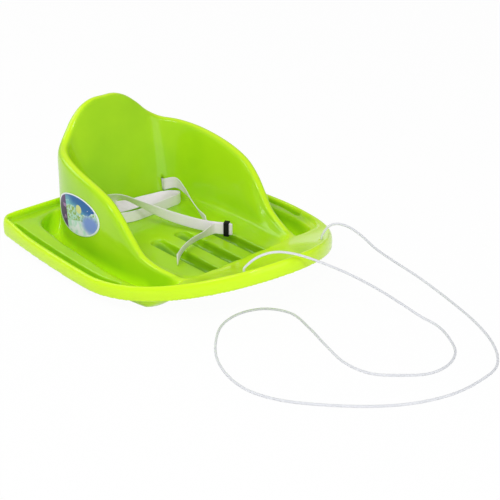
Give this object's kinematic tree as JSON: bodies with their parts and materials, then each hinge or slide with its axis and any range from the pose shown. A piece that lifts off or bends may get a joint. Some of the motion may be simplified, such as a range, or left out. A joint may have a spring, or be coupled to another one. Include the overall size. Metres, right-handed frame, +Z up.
{
  "type": "baby pull sled",
  "caption": "Baby pull sled: one moulded plastic shell with a bucket seat, high headrest, side wings and upturned nose, with a webbing lap belt and a looped pull rope.",
  "frame": {"origin": "on the ground under the middle of the shell's bounding box", "axes": "+Z up, -Y towards the nose, +X to the sled's left as the child sits"},
  "size_m": [0.46, 0.8888, 0.2387],
  "materials": {
    "shell_plastic": "satin lime green polyethylene",
    "webbing": "woven white webbing",
    "black_plastic": "satin black",
    "rope": "braided white cord",
    "label_film": "printed film"
  },
  "bodies": {
    "sled": {"sled_shell": "shell_plastic", "oval_label": "label_film", "belt_bar_right": "black_plastic", "belt_bar_left": "black_plastic", "belt_loop_right": "webbing", "belt_loop_left": "webbing", "belt_slack": "webbing", "pull_rope": "rope", "rope_knot_right": "rope", "rope_knot_left": "rope"},
    "harness": {"belt_right": "webbing", "belt_left": "webbing"},
    "slide": {"belt_slide": "black_plastic"}
  },
  "joints": [
    {"name": "belt_lift", "type": "hinge", "parent": "sled", "child": "harness", "pos_m": [0, 0.1606, 0.06669], "axis": [-1, 0, 0], "range_deg": [0, 45]},
    {"name": "slide_adjust", "type": "slide", "parent": "harness", "child": "slide", "axis": [-0.5736, 0.8192, 0], "range_m": [0, 0.012]}
  ]
}
